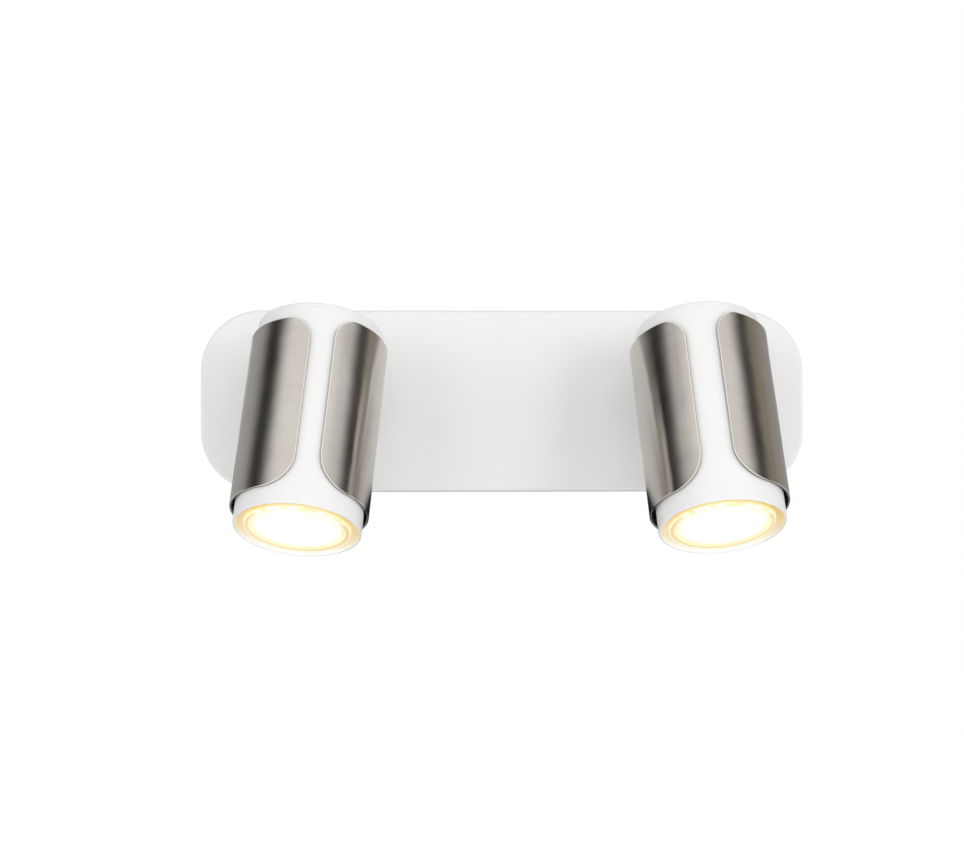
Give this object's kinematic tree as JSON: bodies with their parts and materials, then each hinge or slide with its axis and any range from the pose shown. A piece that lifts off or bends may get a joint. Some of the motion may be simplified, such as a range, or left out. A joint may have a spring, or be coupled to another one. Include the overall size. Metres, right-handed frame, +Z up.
{
  "type": "wall spotlight",
  "caption": "Wall spotlight bar: a rounded white plate carries cylindrical heads in brushed metal sleeves, each panning, tilting and holding a twist-lock reflector lamp.",
  "frame": {"origin": "middle of the plate's open back, on the wall surface", "axes": "+X to the right along the plate as seen from the room, +Y into the wall, +Z up; the heads hang towards -Z and point down and outwards"},
  "size_m": [0.3, 0.1411, 0.1217],
  "materials": {
    "canopy_paint": "white powder coat, fine orange peel",
    "zinc_sheet": "zinc-plated sheet",
    "zinc_hardware": "zinc-plated",
    "terminal_plastic": "moulded, satin",
    "brass_inserts": "machined",
    "lead_insulation": "smooth wire insulation",
    "knuckle_paint": "white powder coat",
    "friction_plastic": "dark, matt",
    "brass_nuts": "machined",
    "brushed_nickel": "brushed round the tube, nickel-plated",
    "tube_paint": "white powder coat, satin",
    "holder_ceramic": "glazed ceramic look",
    "silicone_leads": "silicone sleeving",
    "lamp_glass": "frosted moulded glass, lit",
    "lamp_base_plastic": "smooth",
    "lamp_front_glass": "clouded front glass, lit",
    "lamp_pin_metal": "turned"
  },
  "bodies": {
    "wall_canopy": {"canopy": "canopy_paint", "mounting_bracket": "zinc_sheet", "end_bushes": "zinc_hardware", "side_screws": "zinc_hardware", "terminal_block": "terminal_plastic", "terminal_inserts": "brass_inserts", "terminal_screws": "zinc_hardware", "terminal_fixing_screw": "zinc_hardware", "earth_screw": "zinc_hardware", "earth_lug": "brass_inserts", "earth_lead": "lead_insulation", "left_feed_leads": "lead_insulation", "right_feed_leads": "lead_insulation"},
    "left_swivel": {"left_swivel_base": "knuckle_paint", "left_friction_washer": "friction_plastic", "left_spring_washer": "zinc_hardware", "left_stub_nut": "brass_nuts", "left_hinge_screw": "zinc_hardware", "left_hinge_nut": "zinc_hardware", "left_hinge_disc": "friction_plastic"},
    "left_head": {"left_head_arm": "knuckle_paint", "left_saddle": "knuckle_paint", "left_sleeve": "brushed_nickel", "left_sleeve_spacer": "friction_plastic", "left_nipple_nut": "brass_nuts", "left_body_tube": "tube_paint", "left_rear_cap": "tube_paint", "left_holder_bracket": "zinc_sheet", "left_lampholder": "holder_ceramic", "left_holder_contacts": "brass_inserts", "left_holder_screws": "zinc_hardware", "left_head_leads": "silicone_leads"},
    "left_lamp": {"left_lamp_reflector": "lamp_glass", "left_lamp_base": "lamp_base_plastic", "left_lamp_lens": "lamp_front_glass", "left_lamp_pins": "lamp_pin_metal"},
    "right_swivel": {"right_swivel_base": "knuckle_paint", "right_friction_washer": "friction_plastic", "right_spring_washer": "zinc_hardware", "right_stub_nut": "brass_nuts", "right_hinge_screw": "zinc_hardware", "right_hinge_nut": "zinc_hardware", "right_hinge_disc": "friction_plastic"},
    "right_head": {"right_head_arm": "knuckle_paint", "right_saddle": "knuckle_paint", "right_sleeve": "brushed_nickel", "right_sleeve_spacer": "friction_plastic", "right_nipple_nut": "brass_nuts", "right_body_tube": "tube_paint", "right_rear_cap": "tube_paint", "right_holder_bracket": "zinc_sheet", "right_lampholder": "holder_ceramic", "right_holder_contacts": "brass_inserts", "right_holder_screws": "zinc_hardware", "right_head_leads": "silicone_leads"},
    "right_lamp": {"right_lamp_reflector": "lamp_glass", "right_lamp_base": "lamp_base_plastic", "right_lamp_lens": "lamp_front_glass", "right_lamp_pins": "lamp_pin_metal"}
  },
  "joints": [
    {"name": "left_pan", "type": "hinge", "parent": "wall_canopy", "child": "left_swivel", "pos_m": [-0.093, -0.035, 0], "axis": [0, 1, 0], "range_deg": [-181.5, 168.5]},
    {"name": "left_tilt", "type": "hinge", "parent": "left_swivel", "child": "left_head", "pos_m": [-0.093, -0.035, 0], "axis": [-0.9936, 0, 0.1132], "range_deg": [-23.6, 66.4]},
    {"name": "left_lamp_twist", "type": "hinge", "parent": "left_head", "child": "left_lamp", "pos_m": [-0.10035, -0.11303, -0.06453], "axis": [-0.1037, -0.4003, -0.9105], "range_deg": [0, 30]},
    {"name": "right_pan", "type": "hinge", "parent": "wall_canopy", "child": "right_swivel", "pos_m": [0.093, -0.035, 0], "axis": [0, 1, 0], "range_deg": [-171, 179]},
    {"name": "right_tilt", "type": "hinge", "parent": "right_swivel", "child": "right_head", "pos_m": [0.093, -0.035, 0], "axis": [-0.9976, 0, -0.0698], "range_deg": [-24.5, 65.5]},
    {"name": "right_lamp_twist", "type": "hinge", "parent": "right_head", "child": "right_lamp", "pos_m": [0.09744, -0.11404, -0.06356], "axis": [0.0635, -0.4147, -0.9077], "range_deg": [0, 30]}
  ]
}
